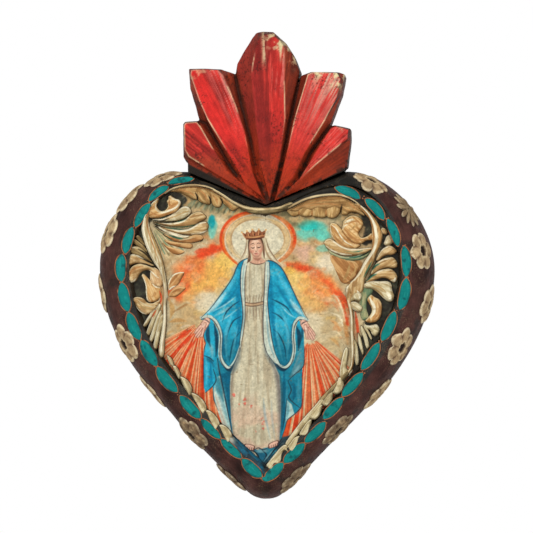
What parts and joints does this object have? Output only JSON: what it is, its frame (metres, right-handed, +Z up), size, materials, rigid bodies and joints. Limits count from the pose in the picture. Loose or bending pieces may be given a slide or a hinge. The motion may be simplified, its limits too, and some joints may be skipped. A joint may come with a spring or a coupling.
{
  "type": "painted wooden heart",
  "caption": "Carved and painted wooden wall heart with a red flame crown, a pasted picture framed by raised leaf scrolls, paste flowers round the side and a ring to hang it by.",
  "frame": {"origin": "on the flat back face, on the centre line, level with the heart's widest place", "axes": "+Z up along the heart's height, +Y out of the back into the wall, the picture faces -Y"},
  "size_m": [0.2375, 0.055, 0.327],
  "materials": {
    "painted_wood": "dark brown paint, brushed, worn at the edges",
    "red_paint": "red paint with pink dry brushing and cream worn tips",
    "printed_sheet": "printed and painted paper under aged varnish",
    "cream_relief": "cream and tan paint, brushed over dark",
    "gold_ochre": "gold ochre paint",
    "beige_paste": "beige paste with lighter brushed edges",
    "bare_wood": "bare turned dowel",
    "plated_steel": "zinc plated"
  },
  "bodies": {
    "heart": {"heart_body": "painted_wood", "flame_crown": "red_paint", "picture_print": "printed_sheet", "left_flower_1": "beige_paste", "left_flower_2": "beige_paste", "left_flower_3": "beige_paste", "left_flower_4": "beige_paste", "left_flower_5": "beige_paste", "left_flower_6": "beige_paste", "left_flower_7": "beige_paste", "left_flower_8": "beige_paste", "right_flower_1": "beige_paste", "right_flower_2": "beige_paste", "right_flower_3": "beige_paste", "right_flower_4": "beige_paste", "right_flower_5": "beige_paste", "right_flower_6": "beige_paste", "right_flower_7": "beige_paste", "right_flower_8": "beige_paste", "left_edge_leaf_1": "cream_relief", "left_edge_leaf_2": "cream_relief", "left_edge_leaf_3": "cream_relief", "left_edge_leaf_4": "cream_relief", "left_edge_leaf_5": "cream_relief", "left_edge_leaf_6": "cream_relief", "right_edge_leaf_1": "cream_relief", "right_edge_leaf_2": "cream_relief", "right_edge_leaf_3": "cream_relief", "right_edge_leaf_4": "cream_relief", "right_edge_leaf_5": "cream_relief", "right_edge_leaf_6": "cream_relief", "left_scroll_leaf": "cream_relief", "right_scroll_leaf": "cream_relief", "left_top_moulding": "gold_ochre", "right_top_moulding": "gold_ochre", "crown_dowel_left": "bare_wood", "crown_dowel_right": "bare_wood", "hanger_strap": "plated_steel", "hanger_screw": "plated_steel"},
    "ring": {"hanger_ring": "plated_steel"}
  },
  "joints": [
    {"name": "ring_swing", "type": "hinge", "parent": "heart", "child": "ring", "pos_m": [0, -0.0053, 0.0225], "axis": [-1, 0, 0], "range_deg": [0, 180]}
  ]
}
